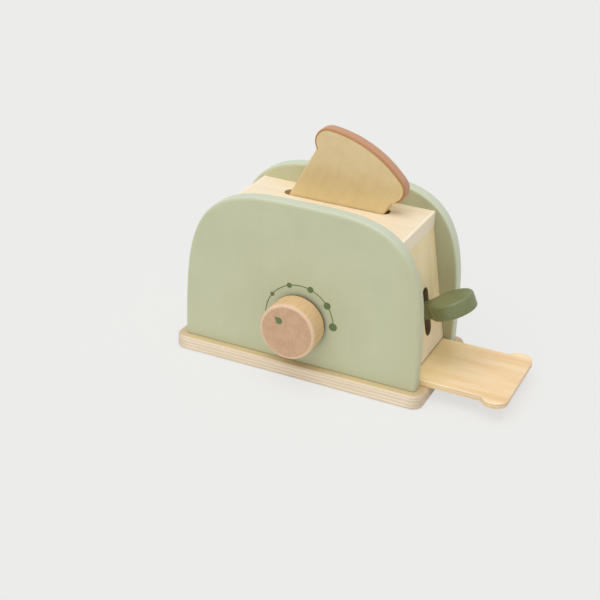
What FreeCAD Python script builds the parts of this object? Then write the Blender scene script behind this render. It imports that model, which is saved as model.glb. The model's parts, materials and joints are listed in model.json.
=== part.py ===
"""Wooden toy toaster, built as the real one is: boards, dowels, a rocking lever, a knob and a tray.

Millimetres. +Z is up, X runs along the toaster towards the lever and tray end, -Y is the front.
The origin is the middle of the base board's underside.
"""

import math
import os

import FreeCAD
import Part

# ---------------------------------------------------------------- clearances
GLUE_GAP = 0.05        # round a glued dowel, rod or screw
RUNNING_GAP = 0.06     # round a shaft that turns
SEAT_GAP = 0.3         # between parts that only lie against each other
SLIDE_GAP = 0.5        # round the tray

# ---------------------------------------------------------------- base board
BASE_MARGIN = 7.0      # from the panels' ends out to the base board's
BASE_LEDGE = 6.75      # from the panels' faces out to the base board's
BASE_THICKNESS = 12.0
BASE_CORNER = 9.0
BASE_ARRIS = 2.2

# ---------------------------------------------------------------- arched panels
PANEL_LENGTH = 200.0
PANEL_HEIGHT = 132.0
PANEL_THICKNESS = 12.0
PANEL_ARRIS = 2.6
ARCH_SIDE_POWER = 3.6  # how square the arch's shoulders are, along X and along Z
ARCH_TOP_POWER = 3.9
ARCH_POINTS = 25
BODY_DEPTH = 75.0      # from panel to panel

# ---------------------------------------------------------------- body boards
TOP_BELOW_ARCH = 18.4  # from the panels' crown down to the top board
TOP_SHOULDER = 4.3     # how far the top board's ends lie inside the arch
TOP_THICKNESS = 12.8
TOP_ARRIS = 1.0
WALL_THICKNESS = 12.0
WALL_FOOT_INSET = 6.4  # from the panels' feet in to the walls' outer feet
DIVIDER_THICKNESS = 12.0
FLOOR_THICKNESS = 6.0
FLOOR_GROOVE = 3.0

# ---------------------------------------------------------------- toast and its slots
TOAST_THICKNESS = 11.5
TOAST_BODY_WIDTH = 72.9
TOAST_HEAD_WIDTH = 84.8
TOAST_HEIGHT = 85.5
TOAST_LOBE_DROP = 17.5  # from the crown down to the middle of the rounded lobes
TOAST_LOBE_RADIUS = 11.6
TOAST_NECK_RADIUS = 3.0
TOAST_FOOT_RADIUS = 5.0
TOAST_ARRIS = 1.8
TOAST_LEAN = 27.2       # degrees from upright
TOAST_DEPTH_IN = 47.4   # how far the slice reaches below the slot's rim, along itself
SLOT_SIDE_ROOM = 1.5    # slot width over the slice's thickness
SLOT_PITCH = 31.6       # from one slot's middle to the other's
SLOT_ARRIS = 0.6

# ---------------------------------------------------------------- tray
TRAY_THICKNESS = 5.4
TRAY_REACH = 68.6       # how far the tray stands out past the panels
TRAY_EAR_RADIUS = 10.2
TRAY_EAR_OUT = 6.6      # how far an ear stands out past the tray's side
TRAY_NECK_RADIUS = 1.5
TRAY_ARRIS = 0.8

# ---------------------------------------------------------------- lever
LEVER_THICKNESS = 12.8
LEVER_WIDTH = 12.0
LEVER_OFFSET = 5.7      # behind the middle of the body
LEVER_TILT = 25.7       # degrees, outer end up, at rest
LEVER_PRESSED = 8.0     # degrees, outer end down, when pressed
LEVER_HEIGHT = 42.8     # of its middle above the base board, at the wall's outer face
PIVOT_INSET = 6.0       # from the wall's inner face in to the axle
AXLE_RADIUS = 3.0
AXLE_DEPTH = 8.0        # of the axle in each panel
PADDLE_RADIUS = 18.7
PADDLE_OUT = 22.8       # from the wall's outer face out to the paddle's middle, along the lever
PADDLE_FILLET = 7.0
PADDLE_ARRIS = 2.0
LEVER_SLOT_HEIGHT = 39.7
LEVER_SLOT_GAP = 0.5
LIFT_BAR_RADIUS = 3.0
LIFT_BAR_LENGTH = 66.0

# ---------------------------------------------------------------- knob and dial
KNOB_RADIUS = 23.0
KNOB_LENGTH = 20.7
KNOB_ARRIS = 2.0
KNOB_HEIGHT = 36.5      # of its axis above the base board
KNOB_X = 0.9            # of its axis, right of the panels' middle
KNOB_AXLE_RADIUS = 4.0
KNOB_AXLE_DEPTH = 13.0  # of the axle in the knob
WASHER_RADIUS = 9.0
WASHER_THICKNESS = 1.6
KNOB_END_GAP = 0.1
RETAINER_RADIUS = 10.0
RETAINER_THICKNESS = 6.0
PRINT_THICKNESS = 0.15
DIAL_RADIUS = 28.9
DIAL_LIFT = 1.2         # of the printed ring's middle above the knob's axis
DIAL_LINE = 0.7
DIAL_DOTS = 5
DIAL_START = 1.1        # degrees from +X to the largest dot
DIAL_STEP = 36.0        # degrees from dot to dot
SMALL_DOT_RADIUS = 1.8
LARGE_DOT_RADIUS = 3.3
POINTER_ANGLE = 129.0   # degrees from +X, seen from the front
POINTER_OUT = 10.8
POINTER_RADIUS = 2.7
POINTER_LENGTH = 4.5    # from the drop's round middle to its tip
POINTER_TURN = 11.0     # degrees of the tip, anticlockwise of straight outwards

# ---------------------------------------------------------------- dowels and screws
DOWEL_RADIUS = 3.0
DOWEL_IN_PANEL = 8.0
DOWEL_IN_BOARD = 10.0
DIVIDER_DOWEL_UP = 8.0
TOP_DOWEL_INSET = 15.5  # from the top board's ends in to its outer dowels
WALL_DOWEL_INSET = 20.0  # from a wall's ends along Z to its dowels
DIVIDER_DOWEL_PITCH = 80.0
SCREW_RADIUS = 1.75
SCREW_HEAD_RADIUS = 3.6
SCREW_HEAD_SINK = 0.5
SCREW_LENGTH = 30.0
SCREW_INSET = 25.0      # from the panels' ends in to the outer screws
SCREW_DRIVE = 1.2       # depth and width of the cross recess

# ---------------------------------------------------------------- worked-out places
TOP_Z = BASE_THICKNESS + PANEL_HEIGHT - TOP_BELOW_ARCH
TOP_UNDER = TOP_Z - TOP_THICKNESS
PANEL_INNER = BODY_DEPTH / 2
PANEL_OUTER = PANEL_INNER + PANEL_THICKNESS
BASE_LENGTH = PANEL_LENGTH + 2 * BASE_MARGIN
BASE_DEPTH = 2 * (PANEL_OUTER + BASE_LEDGE)
SLOT_Y = SLOT_PITCH / 2
SLOT_RADIUS = (TOAST_THICKNESS + SLOT_SIDE_ROOM) / 2
TRAY_TOP = BASE_THICKNESS + TRAY_THICKNESS
FLOOR_UNDER = TRAY_TOP + 2 * SEAT_GAP
FLOOR_TOP = FLOOR_UNDER + FLOOR_THICKNESS
RIGHT_WALL_FOOT = TRAY_TOP + SLIDE_GAP
KNOB_Z = BASE_THICKNESS + KNOB_HEIGHT
DIAL_Z = KNOB_Z + DIAL_LIFT
KNOB_BACK = -PANEL_OUTER - WASHER_THICKNESS - KNOB_END_GAP
KNOB_FRONT = KNOB_BACK - KNOB_LENGTH


def vec(x, y, z):
    """Short name for a FreeCAD vector."""
    return FreeCAD.Vector(x, y, z)


def arch_half_width(height):
    """Half the panel's width at a height above the base board."""
    share = 1 - (height / PANEL_HEIGHT) ** ARCH_TOP_POWER
    return PANEL_LENGTH / 2 * share ** (1 / ARCH_SIDE_POWER)


TOP_HALF = arch_half_width(PANEL_HEIGHT - TOP_BELOW_ARCH) - TOP_SHOULDER
WALL_FOOT_HALF = PANEL_LENGTH / 2 - WALL_FOOT_INSET
WALL_SLOPE = (WALL_FOOT_HALF - TOP_HALF) / (TOP_UNDER - BASE_THICKNESS)
WALL_LEAN = math.degrees(math.atan(WALL_SLOPE))
WALL_RUN = WALL_THICKNESS / math.cos(math.radians(WALL_LEAN))


def wall_outer(z):
    """X of the right wall's outer face at height z."""
    return TOP_HALF + WALL_SLOPE * (TOP_UNDER - z)


def wall_inner(z):
    """X of the right wall's inner face at height z."""
    return wall_outer(z) - WALL_RUN


# The lever's middle line passes the wall's outer face at LEVER_Z and falls inwards to the axle.
TILT = math.radians(LEVER_TILT)
PRESSED = math.radians(LEVER_PRESSED)
LEVER_Z = BASE_THICKNESS + LEVER_HEIGHT
PIVOT_X = wall_inner(LEVER_Z) - PIVOT_INSET
PIVOT_Z = LEVER_Z - math.tan(TILT) * (wall_outer(LEVER_Z) - PIVOT_X)
WALL_ALONG = (wall_outer(LEVER_Z) - PIVOT_X) / math.cos(TILT)
PADDLE_ALONG = WALL_ALONG + PADDLE_OUT
NOSE_RADIUS = LEVER_THICKNESS / 2
ARM_LENGTH = (PIVOT_Z - FLOOR_TOP - SEAT_GAP - NOSE_RADIUS) / math.sin(TILT)
LEVER_SLOT_RADIUS = LEVER_WIDTH / 2 + LEVER_SLOT_GAP
PRESSED_UNDER = (
    PIVOT_Z
    - LEVER_THICKNESS / 2 / math.cos(PRESSED)
    - math.tan(PRESSED) * (wall_outer(LEVER_Z) + WALL_SLOPE * LEVER_THICKNESS - PIVOT_X)
)
# How deep the arm's rounded edges let it sit in the slot's round end.
ARM_SEAT = PADDLE_ARRIS + math.sqrt(
    (LEVER_SLOT_RADIUS - PADDLE_ARRIS) ** 2 - (LEVER_WIDTH / 2 - PADDLE_ARRIS) ** 2
)
LEVER_SLOT_FOOT = PRESSED_UNDER - LEVER_SLOT_GAP - LEVER_SLOT_RADIUS + ARM_SEAT
LEVER_SLOT_Z = LEVER_SLOT_FOOT + LEVER_SLOT_HEIGHT / 2
NOSE_TOP = PIVOT_Z + ARM_LENGTH * math.sin(PRESSED) + NOSE_RADIUS
DIVIDER_UNDER = NOSE_TOP + 8 * SEAT_GAP

# The slice leans until its side rests on the slot's right upper rim and its left foot on the slot's left end.
# TOAST_REACH is how far its rounded edges let it into a round slot end.
LEAN = math.radians(TOAST_LEAN)
TOAST_FRONT = SLOT_Y - TOAST_THICKNESS / 2
TOAST_ARRIS_OFFSET = TOAST_THICKNESS / 2 - TOAST_ARRIS
TOAST_REACH = TOAST_ARRIS + math.sqrt(
    (SLOT_RADIUS - SEAT_GAP - TOAST_ARRIS) ** 2 - TOAST_ARRIS_OFFSET**2
)
TOAST_SPAN = (
    (TOAST_BODY_WIDTH - TOAST_FOOT_RADIUS) * math.cos(LEAN)
    + (TOAST_DEPTH_IN - TOAST_FOOT_RADIUS) * math.sin(LEAN)
    + TOAST_FOOT_RADIUS
)
SLOT_STRAIGHT = max(TOAST_SPAN, TOAST_HEAD_WIDTH) / 2 - TOAST_REACH
SLOT_END_REACH = SLOT_STRAIGHT + TOAST_REACH

# The tray closes until its ears meet the panels, and its inner end then stands just inside the left wall.
TRAY_HALF = PANEL_INNER - SLIDE_GAP
TRAY_END = PANEL_LENGTH / 2 + TRAY_REACH
EAR_X = TRAY_END - TRAY_EAR_RADIUS
EAR_Y = TRAY_HALF + TRAY_EAR_OUT - TRAY_EAR_RADIUS
EAR_NOTCH = EAR_X - math.sqrt(TRAY_EAR_RADIUS**2 - (TRAY_HALF - EAR_Y) ** 2)
TRAY_TRAVEL_IN = EAR_NOTCH - TRAY_NECK_RADIUS - PANEL_LENGTH / 2 - SEAT_GAP
TRAY_INNER_END = TRAY_TRAVEL_IN - wall_inner(TRAY_TOP) + 2 * SLIDE_GAP


# ---------------------------------------------------------------- small helpers
def block(x0, x1, y0, y1, z0, z1):
    """A box between two corners."""
    return Part.makeBox(x1 - x0, y1 - y0, z1 - z0, vec(x0, y0, z0))


def rod(radius, start, end):
    """A cylinder from one point to another."""
    axis = end - start
    return Part.makeCylinder(radius, axis.Length, start, axis)


def prism(edges, direction):
    """The solid swept by a closed outline of edges."""
    wire = Part.Wire(Part.__sortEdges__(edges))
    return Part.Face(wire).extrude(direction)


def polygon(points):
    """Straight edges round a list of points."""
    ring = points + points[:1]
    return [Part.makeLine(a, b) for a, b in zip(ring, ring[1:])]


def arc_xy(x, y, radius, start, middle, end):
    """An arc about (x, y) in the XY plane, through three angles in degrees."""
    turns = [math.radians(angle) for angle in (start, middle, end)]
    points = [vec(x + radius * math.cos(t), y + radius * math.sin(t), 0) for t in turns]
    return Part.Arc(*points).toShape()


def edges_where(shape, test):
    """The shape's edges whose bounding box passes a test."""
    return [edge for edge in shape.Edges if test(edge.BoundBox)]


def near(a, b, room=0.01):
    """Whether two sizes are the same."""
    return abs(a - b) < room


def obround(straight, radius, y, z0, z1):
    """A slot-shaped solid along X, upright, with its middle at X = 0."""
    body = block(-straight, straight, y - radius, y + radius, z0, z1)
    for side in (-1, 1):
        end = rod(radius, vec(side * straight, y, z0), vec(side * straight, y, z1))
        body = body.fuse(end)
    return body.removeSplitter()


# ---------------------------------------------------------------- places of dowels and screws
def dowel_from_panel(side, x, z, radius):
    """A dowel across the joint between one panel (side -1 front, 1 rear) and a board."""
    outer = side * (PANEL_INNER + DOWEL_IN_PANEL)
    inner = side * (PANEL_INNER - DOWEL_IN_BOARD)
    return rod(radius, vec(x, outer, z), vec(x, inner, z))


def dowels(places, radius):
    """Dowels at (x, z) places, at both panels."""
    return [dowel_from_panel(side, x, z, radius) for x, z in places for side in (-1, 1)]


def top_places():
    """Where the top board's dowels are."""
    x = TOP_HALF - TOP_DOWEL_INSET
    z = TOP_Z - TOP_THICKNESS / 2
    return [(-x, z), (0, z), (x, z)]


def wall_places(side, foot):
    """Where one end wall's dowels are."""
    heights = (foot + WALL_DOWEL_INSET, TOP_UNDER - WALL_DOWEL_INSET)
    return [(side * (wall_outer(z) - WALL_RUN / 2), z) for z in heights]


def divider_dowels(radius):
    """Upright dowels between the divider and the top board."""
    x = DIVIDER_DOWEL_PITCH / 2
    low = TOP_UNDER - DOWEL_IN_BOARD
    high = TOP_UNDER + DIVIDER_DOWEL_UP
    return [rod(radius, vec(side * x, 0, low), vec(side * x, 0, high)) for side in (-1, 1)]


def screw(x, y, gap):
    """A countersunk screw, pointing up from the base board's underside, grown by a gap."""
    radius = SCREW_RADIUS + gap
    head = SCREW_HEAD_RADIUS + gap
    cone_height = SCREW_HEAD_RADIUS - SCREW_RADIUS
    sink = SCREW_HEAD_SINK
    shank = rod(radius, vec(x, y, sink + cone_height), vec(x, y, SCREW_LENGTH + gap))
    cone = Part.makeCone(head, radius, cone_height, vec(x, y, sink), vec(0, 0, 1))
    return cone.fuse(shank).removeSplitter()


def screw_places():
    """Where the screws are: three under each panel."""
    reach = PANEL_LENGTH / 2 - SCREW_INSET
    y = PANEL_INNER + PANEL_THICKNESS / 2
    return [(x, side * y) for side in (-1, 1) for x in (-reach, 0, reach)]


def screw_hole(x, y):
    """The room for one screw, with the recess over its head."""
    mouth = rod(SCREW_HEAD_RADIUS + GLUE_GAP, vec(x, y, -1), vec(x, y, SCREW_HEAD_SINK))
    return screw(x, y, GLUE_GAP).fuse(mouth)


# ---------------------------------------------------------------- fixed boards
def base_board():
    """The plywood board on which the toaster stands."""
    board = block(-BASE_LENGTH / 2, BASE_LENGTH / 2, -BASE_DEPTH / 2, BASE_DEPTH / 2, 0, BASE_THICKNESS)
    corners = edges_where(board, lambda b: near(b.ZLength, BASE_THICKNESS))
    board = board.makeFillet(BASE_CORNER, corners)
    rims = edges_where(board, lambda b: near(b.ZLength, 0))
    board = board.makeFillet(BASE_ARRIS, rims)
    for x, y in screw_places():
        board = board.cut(screw_hole(x, y))
    return board


def arch_outline():
    """The closed outline of an arched panel, in the XZ plane."""
    points = []
    for i in range(ARCH_POINTS):
        turn = math.pi * i / (ARCH_POINTS - 1)
        across = abs(math.cos(turn)) ** (2 / ARCH_SIDE_POWER)
        up = math.sin(turn) ** (2 / ARCH_TOP_POWER) if 0 < i < ARCH_POINTS - 1 else 0
        side = 1 if math.cos(turn) > 0 else -1
        points.append(vec(side * across * PANEL_LENGTH / 2, 0, BASE_THICKNESS + up * PANEL_HEIGHT))
    curve = Part.BSplineCurve()
    curve.interpolate(Points=points, InitialTangent=vec(0, 0, 1), FinalTangent=vec(0, 0, -1))
    return [curve.toShape(), Part.makeLine(points[-1], points[0])]


def arched_panel(side):
    """One painted panel: side is -1 at the front and 1 at the rear."""
    panel = prism(arch_outline(), vec(0, side * PANEL_THICKNESS, 0))
    panel.translate(vec(0, side * PANEL_INNER, 0))
    arch = edges_where(panel, lambda b: b.ZLength > PANEL_HEIGHT / 2 and near(b.YLength, 0))
    panel = panel.makeFillet(PANEL_ARRIS, arch)
    for x, y in screw_places():
        panel = panel.cut(screw(x, y, GLUE_GAP))
    places = top_places() + wall_places(1, RIGHT_WALL_FOOT) + wall_places(-1, BASE_THICKNESS)
    for hole in dowels(places, DOWEL_RADIUS + GLUE_GAP):
        panel = panel.cut(hole)
    panel = panel.cut(axle_rod(AXLE_RADIUS + GLUE_GAP))
    return panel.cut(floor_block(GLUE_GAP))


def front_panel():
    """The front panel, bored for the knob's dowel."""
    hole = knob_rod(KNOB_AXLE_RADIUS + RUNNING_GAP, -PANEL_OUTER - 1, -PANEL_INNER + 1)
    return arched_panel(-1).cut(hole)


def top_board():
    """The board with the two toast slots."""
    board = block(-TOP_HALF, TOP_HALF, -PANEL_INNER, PANEL_INNER, TOP_UNDER, TOP_Z)
    ends = edges_where(board, lambda b: near(b.XLength, 0) and near(b.ZLength, 0) and near(b.ZMax, TOP_Z))
    board = board.makeFillet(TOP_ARRIS, ends)
    for side in (-1, 1):
        board = board.cut(obround(SLOT_STRAIGHT, SLOT_RADIUS, side * SLOT_Y, TOP_UNDER - 1, TOP_Z + 1))
    slot_end = SLOT_STRAIGHT + SLOT_RADIUS + SEAT_GAP
    rims = edges_where(
        board,
        lambda b: near(b.ZMin, TOP_Z) and b.XMax < slot_end and b.XMin > -slot_end,
    )
    board = board.makeFillet(SLOT_ARRIS, rims)
    for hole in dowels(top_places(), DOWEL_RADIUS + GLUE_GAP) + divider_dowels(DOWEL_RADIUS + GLUE_GAP):
        board = board.cut(hole)
    return board


def end_wall(side, foot):
    """A sloping end wall; side is -1 at the left and 1 at the right, foot its lowest height."""
    corners = [(wall_outer(foot), foot), (wall_outer(TOP_UNDER), TOP_UNDER),
               (wall_inner(TOP_UNDER), TOP_UNDER), (wall_inner(foot), foot)]
    points = [vec(side * x, -PANEL_INNER, z) for x, z in corners]
    wall = prism(polygon(points), vec(0, BODY_DEPTH, 0))
    for hole in dowels(wall_places(side, foot), DOWEL_RADIUS + GLUE_GAP):
        wall = wall.cut(hole)
    return wall


def left_end_wall():
    """The left end wall, which stands on the base board and stops the tray."""
    return end_wall(-1, BASE_THICKNESS)


def lever_slot():
    """The obround slot for the lever, square to the right wall."""
    radius = LEVER_SLOT_RADIUS
    straight = LEVER_SLOT_HEIGHT / 2 / math.cos(math.radians(WALL_LEAN)) - radius
    depth = 2 * WALL_THICKNESS
    slot = block(-depth, depth, -radius, radius, -straight, straight)
    for side in (-1, 1):
        slot = slot.fuse(rod(radius, vec(-depth, 0, side * straight), vec(depth, 0, side * straight)))
    slot = slot.removeSplitter()
    slot.rotate(vec(0, 0, 0), vec(0, 1, 0), -WALL_LEAN)
    slot.translate(vec(wall_outer(LEVER_SLOT_Z), LEVER_OFFSET, LEVER_SLOT_Z))
    return slot


def right_end_wall():
    """The right end wall, with the lever slot, ending just above the tray."""
    return end_wall(1, RIGHT_WALL_FOOT).cut(lever_slot())


def floor_block(gap):
    """The floor board's space, grown by a gap in height, length and width."""
    half = wall_inner(FLOOR_TOP) - GLUE_GAP
    reach = PANEL_INNER + FLOOR_GROOVE
    return block(-half - gap, half + gap, -reach - gap, reach + gap, FLOOR_UNDER - gap, FLOOR_TOP + gap)


def floor_board():
    """The thin floor under the toast, held in grooves of both panels."""
    return floor_block(0)


def centre_divider():
    """The board between the two slots, under the top board."""
    half = wall_inner(TOP_UNDER) - GLUE_GAP
    y = DIVIDER_THICKNESS / 2
    board = block(-half, half, -y, y, DIVIDER_UNDER, TOP_UNDER)
    for hole in divider_dowels(DOWEL_RADIUS + GLUE_GAP):
        board = board.cut(hole)
    return board


def cross_recess(x, y):
    """The cross recess in a screw's head."""
    long = SCREW_HEAD_RADIUS / 2
    short = SCREW_DRIVE / 2
    z0 = SCREW_HEAD_SINK - 1
    z1 = SCREW_HEAD_SINK + SCREW_DRIVE
    first = block(x - long, x + long, y - short, y + short, z0, z1)
    second = block(x - short, x + short, y - long, y + long, z0, z1)
    return first.fuse(second)


def base_screws():
    """The screws under the base board."""
    return [screw(x, y, 0).cut(cross_recess(x, y)) for x, y in screw_places()]


# ---------------------------------------------------------------- lever
def axle_rod(radius):
    """The lever's axle, from panel to panel."""
    reach = PANEL_INNER + AXLE_DEPTH
    return rod(radius, vec(PIVOT_X, -reach, PIVOT_Z), vec(PIVOT_X, reach, PIVOT_Z))


def lever_outline():
    """Paddle, neck and arm, in the lever's own plane, with the axle at the origin."""
    half = LEVER_WIDTH / 2
    tail = -ARM_LENGTH - NOSE_RADIUS
    centre_y = half + PADDLE_FILLET
    span = PADDLE_RADIUS + PADDLE_FILLET
    fillet_x = PADDLE_ALONG - math.sqrt(span**2 - centre_y**2)
    turn = math.degrees(math.asin(centre_y / span))
    return [
        Part.makeLine(vec(fillet_x, -half, 0), vec(tail, -half, 0)),
        Part.makeLine(vec(tail, -half, 0), vec(tail, half, 0)),
        Part.makeLine(vec(tail, half, 0), vec(fillet_x, half, 0)),
        arc_xy(fillet_x, centre_y, PADDLE_FILLET, -90, -45 - turn / 2, -turn),
        arc_xy(PADDLE_ALONG, 0, PADDLE_RADIUS, 180 - turn, 0, turn - 180),
        arc_xy(fillet_x, -centre_y, PADDLE_FILLET, turn, 45 + turn / 2, 90),
    ]


def tip_lever(shape):
    """Moves a shape from the lever's own frame to its place at rest."""
    shape.rotate(vec(0, 0, 0), vec(0, 1, 0), -LEVER_TILT)
    shape.translate(vec(PIVOT_X, LEVER_OFFSET, PIVOT_Z))
    return shape


def lever():
    """The lever: a round paddle outside, an arm with a rounded nose inside."""
    half = LEVER_THICKNESS / 2
    board = prism(lever_outline(), vec(0, 0, LEVER_THICKNESS))
    board.translate(vec(0, 0, -half))
    rims = edges_where(board, lambda b: near(b.ZLength, 0) and b.XMax > PADDLE_ALONG)
    board = board.makeFillet(PADDLE_ARRIS, rims)
    reach = PADDLE_RADIUS + 1
    front = PADDLE_ALONG + reach
    profile = block(-ARM_LENGTH, front, -reach, reach, -half, half)
    profile = profile.fuse(rod(NOSE_RADIUS, vec(-ARM_LENGTH, -reach, 0), vec(-ARM_LENGTH, reach, 0)))
    board = board.common(profile.removeSplitter())
    for x, radius in ((0, AXLE_RADIUS + RUNNING_GAP), (-ARM_LENGTH, LIFT_BAR_RADIUS + GLUE_GAP)):
        board = board.cut(rod(radius, vec(x, -reach, 0), vec(x, reach, 0)))
    return tip_lever(board)


def lift_bar():
    """The steel rod across the lever's inner end, under both slots."""
    bar = rod(LIFT_BAR_RADIUS, vec(0, -LIFT_BAR_LENGTH / 2, 0), vec(0, LIFT_BAR_LENGTH / 2, 0))
    bar.translate(vec(-ARM_LENGTH, -LEVER_OFFSET, 0))
    return tip_lever(bar)


# ---------------------------------------------------------------- knob and dial
def knob_rod(radius, y0, y1, lift=0):
    """A rod on the knob's axis, or lifted from it."""
    return rod(radius, vec(KNOB_X, y0, KNOB_Z + lift), vec(KNOB_X, y1, KNOB_Z + lift))


def round_point(middle_z, radius, angle, y):
    """A point at an angle round a middle that is above or on the knob's axis, seen from the front."""
    turn = math.radians(angle)
    return vec(KNOB_X + radius * math.cos(turn), y, middle_z + radius * math.sin(turn))


def knob():
    """The round knob, with a blind hole for its dowel."""
    body = knob_rod(KNOB_RADIUS, KNOB_BACK, KNOB_FRONT)
    front_rim = edges_where(body, lambda b: near(b.YMax, KNOB_FRONT))
    body = body.makeFillet(KNOB_ARRIS, front_rim)
    back_rim = edges_where(body, lambda b: near(b.YMin, KNOB_BACK))
    body = body.makeFillet(KNOB_ARRIS / 3, back_rim)
    return body.cut(knob_dowel(KNOB_AXLE_RADIUS + GLUE_GAP, GLUE_GAP))


def knob_dowel(radius, gap):
    """The knob's dowel, from inside the knob to behind the retainer."""
    front = KNOB_BACK - KNOB_AXLE_DEPTH - gap
    back = -PANEL_INNER + SEAT_GAP + RETAINER_THICKNESS
    return knob_rod(radius, front, back)


def knob_axle():
    """The dowel that turns in the front panel."""
    return knob_dowel(KNOB_AXLE_RADIUS, 0)


def ring(radius, hole, y0, y1):
    """A flat ring round the knob's dowel."""
    return knob_rod(radius, y0, y1).cut(knob_rod(hole, y0 - 1, y1 + 1))


def knob_washer():
    """The thin washer between knob and panel."""
    return ring(WASHER_RADIUS, KNOB_AXLE_RADIUS + SEAT_GAP, -PANEL_OUTER - WASHER_THICKNESS, -PANEL_OUTER)


def knob_retainer():
    """The disc glued on the dowel's inner end, which keeps the knob on."""
    start = -PANEL_INNER + SEAT_GAP
    return ring(RETAINER_RADIUS, KNOB_AXLE_RADIUS + GLUE_GAP, start, start + RETAINER_THICKNESS)


def knob_pointer():
    """The drop-shaped mark on the knob: a round end and a tip that points outwards."""
    turn = math.acos(POINTER_RADIUS / POINTER_LENGTH)
    spread = math.degrees(turn)
    x = POINTER_RADIUS * math.cos(turn)
    y = POINTER_RADIUS * math.sin(turn)
    tip = vec(POINTER_LENGTH, 0, 0)
    outline = [
        arc_xy(0, 0, POINTER_RADIUS, spread, 180, -spread),
        Part.makeLine(vec(x, -y, 0), tip),
        Part.makeLine(tip, vec(x, y, 0)),
    ]
    drop = prism(outline, vec(0, 0, PRINT_THICKNESS))
    drop.rotate(vec(0, 0, 0), vec(0, 0, 1), POINTER_ANGLE + POINTER_TURN)
    drop.rotate(vec(0, 0, 0), vec(1, 0, 0), 90)
    drop.translate(round_point(KNOB_Z, POINTER_OUT, POINTER_ANGLE, KNOB_FRONT))
    return drop


def dial_print():
    """The printed dial: half a ring and dots that grow along it."""
    face = -PANEL_OUTER
    layer = face - PRINT_THICKNESS
    outer = knob_rod(DIAL_RADIUS + DIAL_LINE / 2, layer, face, DIAL_LIFT)
    line = outer.cut(knob_rod(DIAL_RADIUS - DIAL_LINE / 2, layer - 1, face + 1, DIAL_LIFT))
    reach = 2 * DIAL_RADIUS
    mark = line.common(block(-reach, reach, layer - 1, face + 1, DIAL_Z, DIAL_Z + reach))
    for i in range(DIAL_DOTS):
        radius = LARGE_DOT_RADIUS - (LARGE_DOT_RADIUS - SMALL_DOT_RADIUS) * i / (DIAL_DOTS - 1)
        angle = DIAL_START + DIAL_STEP * i
        back, front = (round_point(DIAL_Z, DIAL_RADIUS, angle, y) for y in (layer, face))
        mark = mark.fuse(rod(radius, back, front))
    return mark.removeSplitter()


# ---------------------------------------------------------------- tray
def tray():
    """The sliding tray: a thin board with a rounded ear at each outer corner."""
    notch = math.degrees(math.acos((EAR_NOTCH - EAR_X) / TRAY_EAR_RADIUS))
    outline = [
        Part.makeLine(vec(TRAY_INNER_END, -TRAY_HALF, 0), vec(TRAY_INNER_END, TRAY_HALF, 0)),
        Part.makeLine(vec(TRAY_INNER_END, TRAY_HALF, 0), vec(EAR_NOTCH, TRAY_HALF, 0)),
        arc_xy(EAR_X, EAR_Y, TRAY_EAR_RADIUS, notch, notch / 2, 0),
        Part.makeLine(vec(TRAY_END, EAR_Y, 0), vec(TRAY_END, -EAR_Y, 0)),
        arc_xy(EAR_X, -EAR_Y, TRAY_EAR_RADIUS, 0, -notch / 2, -notch),
        Part.makeLine(vec(EAR_NOTCH, -TRAY_HALF, 0), vec(TRAY_INNER_END, -TRAY_HALF, 0)),
    ]
    board = prism(outline, vec(0, 0, TRAY_THICKNESS))
    necks = edges_where(
        board,
        lambda b: near(b.XMin, EAR_NOTCH) and near(b.XLength, 0) and near(b.ZLength, TRAY_THICKNESS),
    )
    board = board.makeFillet(TRAY_NECK_RADIUS, necks)
    rims = edges_where(board, lambda b: near(b.ZLength, 0))
    board = board.makeFillet(TRAY_ARRIS, rims)
    board.translate(vec(0, 0, BASE_THICKNESS))
    return board


# ---------------------------------------------------------------- toast
def toast_outline():
    """The slice's outline, standing on Y = 0: crown, bottom edge, and foot, side, neck and lobe twice."""
    half = TOAST_BODY_WIDTH / 2
    lobe_x = TOAST_HEAD_WIDTH / 2 - TOAST_LOBE_RADIUS
    lobe_y = TOAST_HEIGHT - TOAST_LOBE_DROP
    drop = TOAST_LOBE_DROP
    crown = (lobe_x**2 + drop**2 - TOAST_LOBE_RADIUS**2) / (2 * (drop - TOAST_LOBE_RADIUS))
    crown_y = TOAST_HEIGHT - crown
    crown_turn = math.degrees(math.atan2(lobe_y - crown_y, lobe_x))
    neck_x = half + TOAST_NECK_RADIUS
    span = TOAST_LOBE_RADIUS + TOAST_NECK_RADIUS
    neck_y = lobe_y - math.sqrt(span**2 - (neck_x - lobe_x) ** 2)
    neck_turn = math.degrees(math.atan2(neck_y - lobe_y, neck_x - lobe_x))
    foot = TOAST_FOOT_RADIUS
    edges = [arc_xy(0, crown_y, crown, crown_turn, 90, 180 - crown_turn),
             Part.makeLine(vec(foot - half, 0, 0), vec(half - foot, 0, 0))]
    right = [
        arc_xy(half - foot, foot, foot, -90, -45, 0),
        Part.makeLine(vec(half, foot, 0), vec(half, neck_y, 0)),
        arc_xy(neck_x, neck_y, TOAST_NECK_RADIUS, 180, 180 + neck_turn / 2, 180 + neck_turn),
        arc_xy(lobe_x, lobe_y, TOAST_LOBE_RADIUS, neck_turn, (neck_turn + crown_turn) / 2, crown_turn),
    ]
    left = [edge.mirror(vec(0, 0, 0), vec(1, 0, 0)) for edge in right]
    return edges + right + left


def toast_slice():
    """The slice of toast, leaning in the rear slot."""
    board = prism(toast_outline(), vec(0, 0, TOAST_THICKNESS))
    rims = edges_where(board, lambda b: near(b.ZLength, 0))
    board = board.makeFillet(TOAST_ARRIS, rims)
    board.rotate(vec(0, 0, 0), vec(1, 0, 0), 90)
    board.translate(vec(-TOAST_BODY_WIDTH / 2, TOAST_THICKNESS, -TOAST_DEPTH_IN))
    board.rotate(vec(0, 0, 0), vec(0, 1, 0), TOAST_LEAN)
    board.translate(vec(SLOT_END_REACH, TOAST_FRONT, TOP_Z))
    return board


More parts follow.
